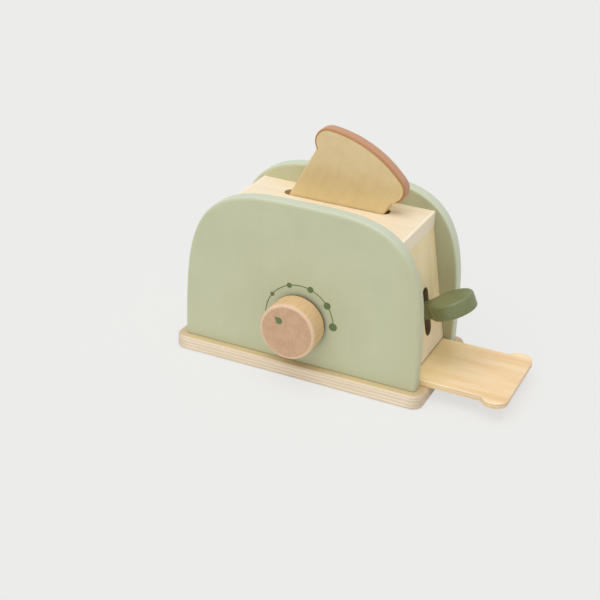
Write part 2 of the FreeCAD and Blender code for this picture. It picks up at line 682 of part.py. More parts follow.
# ---------------------------------------------------------------- the whole toaster
def nodes():
    """Every piece, by name. A list of solids is a group of like pieces."""
    return {
        "base_board": base_board(),
        "front_panel": front_panel(),
        "rear_panel": arched_panel(1),
        "top_board": top_board(),
        "left_end_wall": left_end_wall(),
        "right_end_wall": right_end_wall(),
        "floor_board": floor_board(),
        "centre_divider": centre_divider(),
        "top_board_dowels": dowels(top_places(), DOWEL_RADIUS),
        "left_wall_dowels": dowels(wall_places(-1, BASE_THICKNESS), DOWEL_RADIUS),
        "right_wall_dowels": dowels(wall_places(1, RIGHT_WALL_FOOT), DOWEL_RADIUS),
        "divider_dowels": divider_dowels(DOWEL_RADIUS),
        "base_screws": base_screws(),
        "dial_print": dial_print(),
        "knob_washer": knob_washer(),
        "knob": knob(),
        "knob_axle": knob_axle(),
        "knob_retainer": knob_retainer(),
        "knob_pointer": knob_pointer(),
        "lever_axle": axle_rod(AXLE_RADIUS),
        "lever": lever(),
        "lift_bar": lift_bar(),
        "tray": tray(),
        "toast_slice": toast_slice(),
    }


def main():
    """Writes one STEP file for each piece."""
    os.makedirs("parts", exist_ok=True)
    for name, shape in nodes().items():
        if isinstance(shape, list):
            shape = Part.makeCompound(shape)
        if not shape.isValid():
            raise ValueError(name + " is not a valid shape")
        shape.exportStep(os.path.join("parts", name + ".step"))
        print(name, len(shape.Solids), round(shape.Volume))
    print("pivot", round(PIVOT_X, 3), LEVER_OFFSET, round(PIVOT_Z, 3), "arm", round(ARM_LENGTH, 2))
    print("tray in", round(TRAY_TRAVEL_IN, 2), "inner end", round(TRAY_INNER_END, 2))


if __name__ == "__main__":
    main()
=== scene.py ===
"""Dressing of a wooden toy toaster: its finishes, its modelled pieces, and the studio round it.

Everything is in metres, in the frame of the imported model: +X towards the lever and the tray,
-Y towards the knob, +Z up, with the origin under the middle of the base board.
"""

from __future__ import annotations

import json
import logging
import math
from abc import ABC, abstractmethod
from collections.abc import Callable, Iterator
from contextlib import contextmanager
from dataclasses import dataclass
from enum import Enum

import bmesh
import bpy
from mathutils import Matrix, Vector


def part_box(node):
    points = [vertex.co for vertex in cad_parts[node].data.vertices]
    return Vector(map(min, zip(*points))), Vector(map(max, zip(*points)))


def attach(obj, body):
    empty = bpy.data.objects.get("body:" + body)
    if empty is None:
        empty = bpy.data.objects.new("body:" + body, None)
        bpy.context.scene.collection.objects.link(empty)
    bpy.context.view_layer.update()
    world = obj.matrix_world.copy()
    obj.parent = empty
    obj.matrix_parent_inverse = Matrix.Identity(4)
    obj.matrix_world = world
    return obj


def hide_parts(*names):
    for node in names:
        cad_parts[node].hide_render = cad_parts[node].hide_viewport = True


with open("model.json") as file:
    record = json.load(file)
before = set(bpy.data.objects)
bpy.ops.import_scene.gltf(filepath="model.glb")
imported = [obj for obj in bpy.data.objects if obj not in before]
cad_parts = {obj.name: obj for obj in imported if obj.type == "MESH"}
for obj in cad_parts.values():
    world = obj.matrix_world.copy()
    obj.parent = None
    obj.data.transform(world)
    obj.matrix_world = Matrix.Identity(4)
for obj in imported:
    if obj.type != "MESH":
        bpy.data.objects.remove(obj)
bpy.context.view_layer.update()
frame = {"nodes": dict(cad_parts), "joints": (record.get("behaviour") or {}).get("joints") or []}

LOG = logging.getLogger("toy_toaster")
MM = 0.001
PER_MM = 1000.0
# The depth of the finest relief of a surface, and the angle up to which edges are shaded smooth.
RELIEF = 0.1 * MM
SMOOTH_ANGLE = math.radians(35)
# How much of a plywood sheet's outer ply has been sanded away, as a share of the ply.
FACE_TRIM = 0.35
# Where most of a noise texture's values lie.
NOISE = (0.3, 0.7)

Colour = tuple[int, int, int]
Pair = tuple[float, float]
Triple = tuple[float, float, float]
Node = bpy.types.Node
Socket = bpy.types.NodeSocket
Piece = bpy.types.Object


# ---- choices
class Along(Enum):
    """The row axis that a board's grain follows, as the turn in degrees that brings it onto X."""

    X = (0.0, 0.0, 0.0)
    Y = (0.0, 0.0, -90.0)
    Z = (0.0, 90.0, 0.0)


class Effect(Enum):
    """Shader node groups that several materials share."""

    GRAIN = "wood_grain"
    PLIES = "ply_edges"
    FILM = "paint_film"


class Pick(Enum):
    """What is picked in edit mode."""

    FACE = "FACE"
    EDGE = "EDGE"


# ---- node graphs
def linear(colour: Colour) -> tuple[float, float, float, float]:
    """Turns an everyday 0-255 colour into the linear values that shaders work in.

    Args:
        colour: Red, green and blue, 0 to 255.

    Returns:
        Linear red, green and blue, and full opacity.
    """
    parts = (part / 255 for part in colour)
    lit = (p / 12.92 if p <= 0.04045 else ((p + 0.055) / 1.055) ** 2.4 for p in parts)
    return (*lit, 1.0)


class Graph:
    """A node tree while nodes are added to it."""

    def __init__(self, tree: bpy.types.NodeTree) -> None:
        """Keeps the tree."""
        self.tree = tree

    def add(self, kind: str, inputs: dict | None = None, **settings: object) -> Node:
        """Adds a node.

        Args:
            kind: The node's type name.
            inputs: Sockets or plain values, by the name or number of the node's input.
            settings: The node's own properties.

        Returns:
            The new node.
        """
        node = self.tree.nodes.new(kind)
        for key, value in settings.items():
            setattr(node, key, value)
        for key, value in (inputs or {}).items():
            self.feed(node.inputs[key], value)
        return node

    def feed(self, socket: Socket, value: object) -> None:
        """Joins a socket to another socket, or sets its plain value."""
        if isinstance(value, Socket):
            self.tree.links.new(value, socket)
        else:
            socket.default_value = value

    def math(self, operation: str, first: object, second: object = 0.0) -> Socket:
        """Adds one sum and returns its result."""
        return self.add("ShaderNodeMath", {0: first, 1: second}, operation=operation).outputs[0]

    def times(self, first: Socket, second: Socket | float) -> Socket:
        """Multiplies two values."""
        return self.math("MULTIPLY", first, second)

    def vector(self, operation: str, inputs: dict) -> Node:
        """Adds one vector sum."""
        return self.add("ShaderNodeVectorMath", inputs, operation=operation)

    def stretch(self, vector: Socket, scale: Triple) -> Socket:
        """Multiplies a vector by a scale for each axis."""
        return self.vector("MULTIPLY", {0: vector, 1: scale}).outputs[0]

    def length(self, vector: Socket) -> Socket:
        """Measures a vector."""
        return self.vector("LENGTH", {0: vector}).outputs["Value"]

    def part(self, vector: Socket, axis: str) -> Socket:
        """Takes one part of a vector: X, Y or Z."""
        return self.add("ShaderNodeSeparateXYZ", {0: vector}).outputs[axis]

    def noise(self, vector: Socket, scale: float, detail: float = 2.0) -> Socket:
        """Adds a noise texture and returns its value, 0 to 1."""
        inputs = {"Vector": vector, "Scale": scale, "Detail": detail}
        return self.add("ShaderNodeTexNoise", inputs).outputs[0]

    def span(
        self, value: Socket, low: float, high: float, to_low: float = 0.0, to_high: float = 1.0
    ) -> Socket:
        """Spreads a value smoothly from one range onto another.

        Args:
            value: The socket to read.
            low: The value that gives to_low.
            high: The value that gives to_high.
            to_low: The result at and below low.
            to_high: The result at and above high.

        Returns:
            The result's socket.
        """
        inputs = {0: value, 1: low, 2: high, 3: to_low, 4: to_high}
        node = self.add("ShaderNodeMapRange", inputs, interpolation_type="SMOOTHSTEP")
        return node.outputs[0]

    def mix(self, factor: Socket, first: Socket | Colour, second: Socket | Colour) -> Socket:
        """Mixes two colours, each a socket or plain, and returns the result's socket."""
        node = self.add("ShaderNodeMix", {0: factor}, data_type="RGBA")
        for place, value in ((6, first), (7, second)):
            self.feed(node.inputs[place], value if isinstance(value, Socket) else linear(value))
        return node.outputs[2]

    def coat(self, shader: Node, tone: Socket, sheen: Socket) -> None:
        """Gives a shader its colour and its roughness."""
        self.feed(shader.inputs["Base Color"], tone)
        self.feed(shader.inputs["Roughness"], sheen)

    def bump(self, shader: Node, height: Socket, strength: float, depth: float = RELIEF) -> None:
        """Gives a shader fine relief from a height."""
        inputs = {"Height": height, "Strength": strength, "Distance": depth}
        self.feed(shader.inputs["Normal"], self.add("ShaderNodeBump", inputs).outputs[0])

    def place(self, turn: Triple = Along.X.value, shift: Triple = (0.0, 0.0, 0.0)) -> Socket:
        """Reads Object coordinates in millimetres, turned and shifted.

        Args:
            turn: The turn about X, Y and Z, in degrees.
            shift: What is added after the turn, in millimetres.

        Returns:
            The vector's socket.
        """
        inputs = {
            "Vector": self.add("ShaderNodeTexCoord").outputs["Object"],
            "Location": shift,
            "Rotation": tuple(math.radians(angle) for angle in turn),
            "Scale": (PER_MM, PER_MM, PER_MM),
        }
        return self.add("ShaderNodeMapping", inputs).outputs[0]

    def effect(self, kind: Effect, inputs: dict) -> Node:
        """Places a shared effect with its own values."""
        return self.add("ShaderNodeGroup", inputs, node_tree=effect_tree(kind))


# ---- shared effects
class EffectBuilder(ABC):
    """Builds one shader node group."""

    kind: Effect
    inputs: dict[str, str]
    outputs: tuple[str, ...]

    def build(self) -> bpy.types.NodeTree:
        """Makes the group with its named inputs and outputs."""
        tree = bpy.data.node_groups.new(self.kind.value, "ShaderNodeTree")
        for name, kind in self.inputs.items():
            tree.interface.new_socket(name=name, in_out="INPUT", socket_type="NodeSocket" + kind)
        for name in self.outputs:
            tree.interface.new_socket(name=name, in_out="OUTPUT", socket_type="NodeSocketFloat")
        graph = Graph(tree)
        source = graph.add("NodeGroupInput")
        sink = graph.add("NodeGroupOutput")
        for name, socket in self.wire(graph, source).items():
            graph.feed(sink.inputs[name], socket)
        return tree

    @abstractmethod
    def wire(self, graph: Graph, source: Node) -> dict[str, Socket]:
        """Adds the group's nodes and returns the socket for each output."""


class GrainBuilder(EffectBuilder):
    """Growth rings round a heart line on X, broad streaks, long fibres, and short dark flecks."""

    kind = Effect.GRAIN
    inputs = {"Vector": "Vector", "Ring Width": "Float", "Wander": "Float", "Breadth": "Float"}
    outputs = ("Rings", "Streaks", "Fibres", "Flecks")
    # How finely each figure varies along the grain and across it, for each millimetre.
    drift_scale = (0.006, 0.028, 0.028)
    streak_scale = (0.014, 0.13, 0.13)
    fibre_scale = (0.045, 1.1, 1.1)
    fleck_scale = (0.3, 2.0, 2.0)
    late_wood = 1.7

    def wire(self, graph: Graph, source: Node) -> dict[str, Socket]:
        """Adds the group's nodes."""
        vector = source.outputs["Vector"]
        radius = graph.length(graph.stretch(vector, (0.0, 1.0, 1.0)))
        drift = graph.noise(graph.stretch(vector, self.drift_scale), 1.0)
        drift = graph.times(drift, source.outputs["Wander"])
        phase = graph.math("DIVIDE", graph.math("ADD", radius, drift), source.outputs["Ring Width"])
        wave = graph.math("SINE", graph.times(phase, math.tau))
        inputs = {0: graph.stretch(vector, self.streak_scale), "Scale": source.outputs["Breadth"]}
        streaks = graph.noise(graph.vector("SCALE", inputs).outputs[0], 1.0, 3.0)
        fibres = graph.noise(graph.stretch(vector, self.fibre_scale), 1.0, 4.0)
        spots = graph.noise(graph.stretch(vector, self.fleck_scale), 1.0)
        return {
            "Rings": graph.math("POWER", graph.span(wave, -1.0, 1.0), self.late_wood),
            "Streaks": graph.span(streaks, 0.34, 0.66),
            "Fibres": graph.span(fibres, *NOISE),
            "Flecks": graph.span(spots, 0.6, 0.74),
        }


class PliesBuilder(EffectBuilder):
    """Glued layers of a plywood sheet, by the height above its lower face."""

    kind = Effect.PLIES
    inputs = {"Height": "Float", "Ply": "Float", "Vector": "Vector"}
    outputs = ("Cross", "Glue")
    sway_scale = (0.03, 0.03, 0.03)
    sway = 0.1
    break_scale = (0.06, 0.06, 0.9)

    def wire(self, graph: Graph, source: Node) -> dict[str, Socket]:
        """Adds the group's nodes."""
        vector = source.outputs["Vector"]
        sway = graph.noise(graph.stretch(vector, self.sway_scale), 1.0)
        sway = graph.span(sway, 0.2, 0.8, -self.sway, self.sway)
        level = graph.math("DIVIDE", source.outputs["Height"], source.outputs["Ply"])
        level = graph.math("ADD", graph.math("ADD", level, FACE_TRIM), sway)
        pair = graph.math("PINGPONG", graph.math("SUBTRACT", level, 0.5), 1.0)
        within = graph.math("FRACT", level)
        edge = graph.math("ABSOLUTE", graph.math("SUBTRACT", within, 0.5))
        line = graph.span(edge, 0.36, 0.5)
        breaks = graph.noise(graph.stretch(vector, self.break_scale), 1.0, 3.0)
        broken = graph.span(breaks, 0.38, 0.6, 0.15, 1.0)
        glue = graph.times(line, broken)
        return {"Cross": graph.span(pair, 0.38, 0.62), "Glue": glue}


class FilmBuilder(EffectBuilder):
    """The cloudiness and the fine orange-peel of a sprayed coat of paint."""

    kind = Effect.FILM
    inputs = {"Vector": "Vector"}
    outputs = ("Clouds", "Peel")
    cloud_scale = 0.035
    peel_scale = 1.6

    def wire(self, graph: Graph, source: Node) -> dict[str, Socket]:
        """Adds the group's nodes."""
        vector = source.outputs["Vector"]
        clouds = graph.span(graph.noise(vector, self.cloud_scale, 3.0), *NOISE)
        return {"Clouds": clouds, "Peel": graph.noise(vector, self.peel_scale)}


BUILDERS = {builder.kind: builder for builder in (GrainBuilder, PliesBuilder, FilmBuilder)}


def effect_tree(kind: Effect) -> bpy.types.NodeTree:
    """Finds a shared effect, building it the first time."""
    return bpy.data.node_groups.get(kind.value) or BUILDERS[kind]().build()


# ---- finishes
MADE: dict[str, bpy.types.Material] = {}


@dataclass(frozen=True)
class Finish(ABC):
    """One material, named for what it is."""

    name: str

    def build(self) -> bpy.types.Material:
        """Makes the material, or finds it if it is already made."""
        if self.name not in MADE:
            material = MADE[self.name] = bpy.data.materials.new(self.name)
            material.use_nodes = True
            tree = material.node_tree
            self.paint(Graph(tree), tree.nodes["Principled BSDF"])
        return MADE[self.name]

    @abstractmethod
    def paint(self, graph: Graph, shader: Node) -> None:
        """Adds this finish's nodes in front of its shader."""


@dataclass(frozen=True)
class Tint(ABC):
    """A second colour over part of a board."""

    colour: Colour
    strength: float

    @abstractmethod
    def share(self, graph: Graph) -> Socket:
        """Says how much of the colour shows at a point."""

    def lay(self, graph: Graph, tone: Socket) -> Socket:
        """Mixes the tint over a colour and returns the result's socket."""
        return graph.mix(self.share(graph), tone, self.colour)


def lay_all(graph: Graph, tone: Socket, tints: tuple[Tint, ...]) -> Socket:
    """Mixes several tints over a colour, one after the other."""
    for tint in tints:
        tone = tint.lay(graph, tone)
    return tone


def place_grain(graph: Graph, wood: Timber | Plywood) -> Node:
    """Places the grain effect with a wood's own values."""
    inputs = {
        "Vector": graph.place(wood.turn, wood.heart),
        "Ring Width": wood.ring_width,
        "Wander": wood.wander,
        "Breadth": wood.breadth,
    }
    return graph.effect(Effect.GRAIN, inputs)


def figure(graph: Graph, grain: Node, wood: Timber | Plywood) -> Socket:
    """Mixes a wood's two tones by its rings, its streaks, and its fibres for the rest.

    Args:
        graph: The material's nodes.
        grain: The grain effect, placed.
        wood: The wood, with its tones and shares.

    Returns:
        The colour's socket.
    """
    rings = graph.times(grain.outputs["Rings"], wood.rings)
    streaks = graph.times(grain.outputs["Streaks"], wood.streaks)
    fibres = graph.times(grain.outputs["Fibres"], 1.0 - wood.rings - wood.streaks)
    shade = graph.math("ADD", graph.math("ADD", rings, streaks), fibres)
    return graph.mix(shade, wood.light, wood.dark)


@dataclass(frozen=True)
class Seam(Tint):
    """A tint near one end of a board: painted shade in a gap, a painted highlight on an end,
    painted sheen on an edge, or a tone of the wood.

    The tint comes in where an object coordinate, or its distance from zero, goes from start to
    full, and goes again in as short a way up to until, where that is given. It keeps to the part
    that another tint covers, where one is given.
    """

    axis: str
    start: float
    full: float
    both_sides: bool = False
    until: float | None = None
    within: Tint | None = None

    def share(self, graph: Graph) -> Socket:
        """Says how much of it shows."""
        place = graph.part(graph.place(), self.axis)
        if self.both_sides:
            place = graph.math("ABSOLUTE", place)
        near, far = sorted((self.start, self.full))
        ends = (0.0, self.strength) if self.full > self.start else (self.strength, 0.0)
        share = graph.span(place, near, far, *ends)
        if self.until is not None:
            gone = graph.span(place, self.until - far + near, self.until, 1.0, 0.0)
            share = graph.times(share, gone)
        if self.within:
            share = graph.times(share, self.within.share(graph))
        return share


@dataclass(frozen=True)
class SlotShade(Tint):
    """Painted shade inside a slot with round ends, gone within a hair beyond its wall."""

    middle: float
    radius: float
    ends: Pair
    along: str
    turn: Triple = Along.X.value
    clear: Pair = (0.1, 0.3)

    def share(self, graph: Graph) -> Socket:
        """Says how much of it shows."""
        place = graph.place(self.turn)
        aside = graph.math("SUBTRACT", graph.part(place, "Y"), self.middle)
        reach = graph.part(place, self.along)
        nearest = graph.math("MINIMUM", graph.math("MAXIMUM", reach, self.ends[0]), self.ends[1])
        beyond = graph.math("SUBTRACT", reach, nearest)
        squares = (graph.math("POWER", side, 2.0) for side in (aside, beyond))
        away = graph.math("SQRT", graph.math("ADD", *squares))
        near, far = (self.radius + gap for gap in self.clear)
        return graph.span(away, near, far, self.strength, 0.0)


@dataclass(frozen=True)
class Cloud(Tint):
    """Soft patches of a second tone."""

    scale: float

    def share(self, graph: Graph) -> Socket:
        """Says how much of it shows."""
        cloud = graph.noise(graph.place(), self.scale, 3.0)
        return graph.span(cloud, 0.42, 0.64, 0.0, self.strength)


@dataclass(frozen=True)
class Timber(Finish):
    """Solid wood under a clear coat, with a figure that runs right through the board."""

    light: Colour
    dark: Colour
    fleck: Colour
    turn: Triple = Along.X.value
    heart: Triple = (0.0, 25.0, 60.0)
    ring_width: float = 4.0
    wander: float = 14.0
    rings: float = 0.2
    streaks: float = 0.5
    flecks: float = 0.3
    breadth: float = 1.0
    roughness: float = 0.5
    relief: float = 0.1
    tints: tuple[Tint, ...] = ()

    def tone(self, graph: Graph, grain: Node) -> Socket:
        """Mixes the wood's colour from its rings, streaks, fibres and flecks."""
        spots = graph.times(grain.outputs["Flecks"], self.flecks)
        return graph.mix(spots, figure(graph, grain, self), self.fleck)

    def paint(self, graph: Graph, shader: Node) -> None:
        """Adds this finish's nodes."""
        grain = place_grain(graph, self)
        fibres = grain.outputs["Fibres"]
        tone = lay_all(graph, self.tone(graph, grain), self.tints)
        sheen = graph.span(fibres, 0.0, 1.0, self.roughness - 0.05, self.roughness + 0.08)
        graph.coat(shader, tone, sheen)
        graph.bump(shader, fibres, self.relief)


@dataclass(frozen=True, kw_only=True)
class Turned(Timber):
    """A turned piece on a Y axis, paler round its front rim.

    The side's colour comes in behind the front face, and the rim's colour inside the outer
    radius, each from one share of the rim's width to another.
    """

    middle: Triple
    radius: float
    front: float
    rim: Colour
    side: Colour
    side_dark: Colour
    rim_width: float = 2.5
    rim_strength: float = 0.6
    rim_from: Pair = (1.15, 0.6)
    side_from: Pair = (0.5, 1.3)

    def tone(self, graph: Graph, grain: Node) -> Socket:
        """Mixes the wood's colour, with the side's own tint and the pale rim.

        Args:
            graph: The material's nodes.
            grain: The grain effect, placed.

        Returns:
            The colour's socket.
        """
        plain = graph.place()
        from_axis = graph.vector("SUBTRACT", {0: plain, 1: self.middle}).outputs[0]
        out = graph.length(graph.stretch(from_axis, (1.0, 0.0, 1.0)))
        starts, full = (self.front + self.rim_width * share for share in self.side_from)
        behind = graph.span(graph.part(plain, "Y"), starts, full)
        turned = graph.mix(grain.outputs["Fibres"], self.side, self.side_dark)
        tinted = graph.mix(behind, super().tone(graph, grain), turned)
        starts, full = (self.radius - self.rim_width * share for share in self.rim_from)
        ring = graph.span(out, starts, full)
        band = graph.times(ring, graph.math("SUBTRACT", 1.0, behind))
        return graph.mix(graph.times(band, self.rim_strength), tinted, self.rim)


@dataclass(frozen=True)
class Plywood(Finish):
    """Veneered plywood: grain on its faces, glued layers on its edges."""

    light: Colour
    dark: Colour
    end_grain: Colour
    glue: Colour
    lower_face: float
    ply: float
    thickness: Triple = (0.0, 0.0, 1.0)
    turn: Triple = Along.X.value
    heart: Triple = (0.0, 30.0, 45.0)
    ring_width: float = 7.0
    wander: float = 30.0
    rings: float = 0.15
    streaks: float = 0.6
    breadth: float = 1.0
    pore_scale: float = 1.3
    glue_show: float = 0.5
    roughness: float = 0.5
    edge_roughness: float = 0.15
    relief: float = 0.1
    tints: tuple[Tint, ...] = ()

    @staticmethod
    def layers(low: float, high: float, plies: int) -> dict[str, float]:
        """Works out where a sheet's layers lie, from its two faces in metres."""
        ply = (high - low) * PER_MM / (plies - 2 * FACE_TRIM)
        return {"lower_face": low * PER_MM, "ply": ply}

    def paint(self, graph: Graph, shader: Node) -> None:
        """Adds this finish's nodes."""
        plain = graph.place()
        along = graph.vector("DOT_PRODUCT", {0: plain, 1: self.thickness}).outputs["Value"]
        height = graph.math("SUBTRACT", along, self.lower_face)
        plies = graph.effect(Effect.PLIES, {"Height": height, "Ply": self.ply, "Vector": plain})
        cross = plies.outputs["Cross"]
        glue = plies.outputs["Glue"]
        grain = place_grain(graph, self)
        pores = graph.span(graph.noise(plain, self.pore_scale, 3.0), 0.25, 0.6, 0.45, 1.0)
        ends = graph.times(cross, pores)
        tone = graph.mix(ends, figure(graph, grain, self), self.end_grain)
        tone = graph.mix(graph.times(glue, self.glue_show), tone, self.glue)
        rough = graph.times(cross, self.edge_roughness)
        sheen = graph.math("ADD", self.roughness, rough)
        graph.coat(shader, lay_all(graph, tone, self.tints), sheen)
        graph.bump(shader, graph.math("ADD", grain.outputs["Fibres"], glue), self.relief)


@dataclass(frozen=True)
class Paint(Finish):
    """A sprayed coat on wood, with a little of the grain showing through."""

    colour: Colour
    deep: Colour
    turn: Triple
    show: float
    heart: Triple = (0.0, 20.0, 50.0)
    roughness: float = 0.5
    peel_relief: float = 0.6
    relief: float = 0.12
    tints: tuple[Tint, ...] = ()

    def paint(self, graph: Graph, shader: Node) -> None:
        """Adds this finish's nodes."""
        film = graph.effect(Effect.FILM, {"Vector": graph.place()})
        peel = film.outputs["Peel"]
        grain = graph.effect(Effect.GRAIN, {"Vector": graph.place(self.turn, self.heart)})
        shown = graph.times(grain.outputs["Fibres"], self.show)
        clouds = graph.times(film.outputs["Clouds"], 1.0 - self.show)
        tone = graph.mix(graph.math("ADD", shown, clouds), self.colour, self.deep)
        sheen = graph.span(peel, *NOISE, self.roughness - 0.04, self.roughness + 0.06)
        graph.coat(shader, lay_all(graph, tone, self.tints), sheen)
        bumps = graph.times(peel, self.peel_relief)
        graph.bump(shader, graph.math("ADD", bumps, shown), self.relief)


@dataclass(frozen=True)
class Crust(Finish):
    """Toasted stain on the slice's rim, with painted shade where it runs over the front arris and a
    greyer tone over the rear one.
    """

    stain: Colour
    thin: Colour
    arris_shade: Colour
    rear: Colour
    middle: float
    reach: float
    blotch_scale: float = 0.45
    waver: float = 1.2
    fade: float = 0.8
    arris_shade_past: float = 0.4
    rear_past: float = 0.6
    streak_scale: Triple = (0.25, 1.4, 0.25)
    thinning: float = 0.35
    relief: float = 0.12
    tints: tuple[Tint, ...] = ()

    def paint(self, graph: Graph, shader: Node) -> None:
        """Adds this finish's nodes."""
        plain = graph.place()
        off = graph.math("SUBTRACT", graph.part(plain, "Y"), self.middle)
        blotch = graph.noise(plain, self.blotch_scale, 3.0)
        wavy = graph.times(blotch, self.waver)
        starts = self.reach - self.fade
        # Painted shade over the front arris.
        front = graph.span(graph.math("SUBTRACT", wavy, off), starts, self.reach + self.arris_shade_past)
        back = graph.span(graph.math("ADD", wavy, off), starts, self.reach + self.rear_past)
        streak = graph.noise(graph.stretch(plain, self.streak_scale), 1.0, 3.0)
        tone = graph.mix(graph.span(streak, *NOISE, 0.0, self.thinning), self.stain, self.thin)
        tone = graph.mix(back, tone, self.rear)
        tone = lay_all(graph, graph.mix(front, tone, self.arris_shade), self.tints)
        graph.coat(shader, tone, graph.span(blotch, *NOISE, 0.5, 0.62))
        graph.bump(shader, streak, self.relief)


@dataclass(frozen=True)
class Ink(Finish):
    """Matt printing ink, a little thin in places."""

    colour: Colour
    thin: Colour
    patch_scale: float = 1.2

    def paint(self, graph: Graph, shader: Node) -> None:
        """Adds this finish's nodes."""
        patch = graph.span(graph.noise(graph.place(), self.patch_scale, 3.0), 0.4, 0.75, 0.0, 0.5)
        tone = graph.mix(patch, self.colour, self.thin)
        graph.coat(shader, tone, graph.span(patch, 0.0, 0.5, 0.6, 0.7))


@dataclass(frozen=True)
class Steel(Finish):
    """Drawn or plated steel with fine lines along it."""

    bright: Colour
    dull: Colour
    turn: Triple = Along.Y.value
    line_scale: Triple = (0.05, 6.0, 6.0)
    relief: float = 0.08

    def paint(self, graph: Graph, shader: Node) -> None:
        """Adds this finish's nodes."""
        lines = graph.noise(graph.stretch(graph.place(self.turn), self.line_scale), 1.0, 3.0)
        tone = graph.mix(graph.span(lines, *NOISE), self.bright, self.dull)
        graph.coat(shader, tone, graph.span(lines, *NOISE, 0.28, 0.42))
        shader.inputs["Metallic"].default_value = 1.0
        graph.bump(shader, lines, self.relief, RELIEF / 2)


@dataclass(frozen=True)
class Fibreboard(Finish):
    """Pressed dark fibre, speckled."""

    dark: Colour
    speck: Colour
    speck_scale: float = 3.0
    relief: float = 0.2

    def paint(self, graph: Graph, shader: Node) -> None:
        """Adds this finish's nodes."""
        specks = graph.span(graph.noise(graph.place(), self.speck_scale, 4.0), 0.5, 0.7)
        tone = graph.mix(specks, self.dark, self.speck)
        graph.coat(shader, tone, graph.span(specks, 0.0, 1.0, 0.8, 0.9))
        graph.bump(shader, specks, self.relief)


# ---- modelling
def deselect() -> None:
    """Leaves edit mode and drops the whole selection."""
    if bpy.context.object and bpy.context.object.mode != "OBJECT":
        bpy.ops.object.mode_set(mode="OBJECT")
    bpy.ops.object.select_all(action="DESELECT")


def take(piece: Piece) -> None:
    """Makes one piece the active one and the whole selection."""
    deselect()
    piece.select_set(True)
    bpy.context.view_layer.objects.active = piece


@contextmanager
def editing(piece: Piece) -> Iterator[None]:
    """Holds one piece in edit mode."""
    take(piece)
    bpy.ops.object.mode_set(mode="EDIT")
    yield
    bpy.ops.object.mode_set(mode="OBJECT")


def pick(piece: Piece, kind: Pick, test: Callable[[object], bool]) -> None:
    """Selects the faces or edges of the piece in edit mode that pass a test.

    Args:
        piece: The piece being edited.
        kind: Faces or edges.
        test: Says whether one face or edge is wanted.
    """
    bpy.ops.mesh.select_mode(type=kind.value)
    bpy.ops.mesh.select_all(action="DESELECT")
    shape = bmesh.from_edit_mesh(piece.data)
    for item in shape.faces if kind is Pick.FACE else shape.edges:
        if test(item):
            item.select_set(True)
    shape.select_flush_mode()
    bmesh.update_edit_mesh(piece.data)


class Pen:
    """Draws an outline in the XZ plane, seen from the front, vertex by vertex."""

    def __init__(self, name: str, x: float, z: float) -> None:
        """Puts the first vertex down, in metres."""
        deselect()
        bpy.ops.mesh.primitive_plane_add(size=MM, location=(x, 0.0, z))
        self.piece = bpy.context.object
        self.piece.name = name
        bpy.ops.object.transform_apply()
        bpy.ops.object.mode_set(mode="EDIT")
        bpy.ops.mesh.select_mode(type="VERT")
        bpy.ops.mesh.select_all(action="SELECT")
        bpy.ops.mesh.merge(type="CENTER")
        self.x = x
        self.z = z

    def line(self, x: float, z: float) -> None:
        """Draws a straight line to a point."""
        step = (x - self.x, 0.0, z - self.z)
        bpy.ops.mesh.extrude_region_move(TRANSFORM_OT_translate={"value": step})
        self.x = x
        self.z = z

    def arc(self, centre: Pair, degrees: float, steps: int) -> None:
        """Draws an arc about a centre, anticlockwise for a positive angle.

        Args:
            centre: X and Z of the arc's centre.
            degrees: How far the arc turns.
            steps: How many short edges it has.
        """
        turn = math.radians(degrees)
        hub = (centre[0], 0.0, centre[1])
        bpy.ops.mesh.spin(steps=steps, angle=turn, center=hub, axis=(0.0, 1.0, 0.0))
        x = self.x - centre[0]
        z = self.z - centre[1]
        self.x = centre[0] + x * math.cos(turn) - z * math.sin(turn)
        self.z = centre[1] + x * math.sin(turn) + z * math.cos(turn)

    def close(self, thickness: float) -> Piece:
        """Fills the outline, gives it a thickness towards +Y and returns the piece."""
        bpy.ops.mesh.select_all(action="SELECT")
        bpy.ops.mesh.remove_doubles(threshold=0.01 * MM)
        bpy.ops.mesh.select_all(action="SELECT")
        bpy.ops.mesh.edge_face_add()
        bpy.ops.mesh.extrude_region_move(TRANSFORM_OT_translate={"value": (0.0, thickness, 0.0)})
        bpy.ops.mesh.select_all(action="SELECT")
        bpy.ops.mesh.normals_make_consistent(inside=False)
        bpy.ops.object.mode_set(mode="OBJECT")
        return self.piece


def hand_over(piece: Piece, body: str, node: str) -> None:
    """Settles a finished piece at the origin, lets it ride, and lets it stand for its node.

    Args:
        piece: The finished piece, placed by its object.
        body: The body that it rides on.
        node: The node that it stands for.
    """
    take(piece)
    bpy.ops.object.transform_apply()
    bpy.ops.object.shade_smooth_by_angle(angle=SMOOTH_ANGLE)
    modifier = piece.modifiers.new("weighted_normal", "WEIGHTED_NORMAL")
    modifier.keep_sharp = True
    bpy.ops.object.modifier_apply(modifier=modifier.name)
    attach(piece, body)
    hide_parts(node)
    LOG.info("%s: %d faces, on %s", piece.name, len(piece.data.polygons), body)


def dress(node: str, finish: Finish) -> None:
    """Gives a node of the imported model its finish."""
    piece = frame["nodes"][node]
    piece.data.materials.clear()
    piece.data.materials.append(finish.build())
    LOG.info("%s: %s", node, finish.name)


# ---- sub-assemblies
# Painted shade for the narrow gaps between parts: beside and under the end walls, and behind the
# knob.
GAP_SHADE: Colour = (96, 74, 46)
PALE_WOOD = ((250, 235, 208), (244, 224, 190), (226, 196, 156))
BEECH = ((232, 206, 166), (214, 182, 138), (170, 128, 88))
DIVIDER = Timber("pale_divider", *PALE_WOOD)
DOWEL_ACROSS = Timber("beech_dowel_across", *BEECH, turn=Along.Y.value)
DOWEL_UPRIGHT = Timber("beech_dowel_upright", *BEECH, turn=Along.Z.value)
GREEN_INK = Ink("printed_green", (101, 122, 77), (117, 138, 95))
STEEL = Steel("bright_steel", (196, 198, 200), (160, 163, 166))
FIBRE = Fibreboard("dark_fibre", (52, 46, 40), (92, 82, 70))


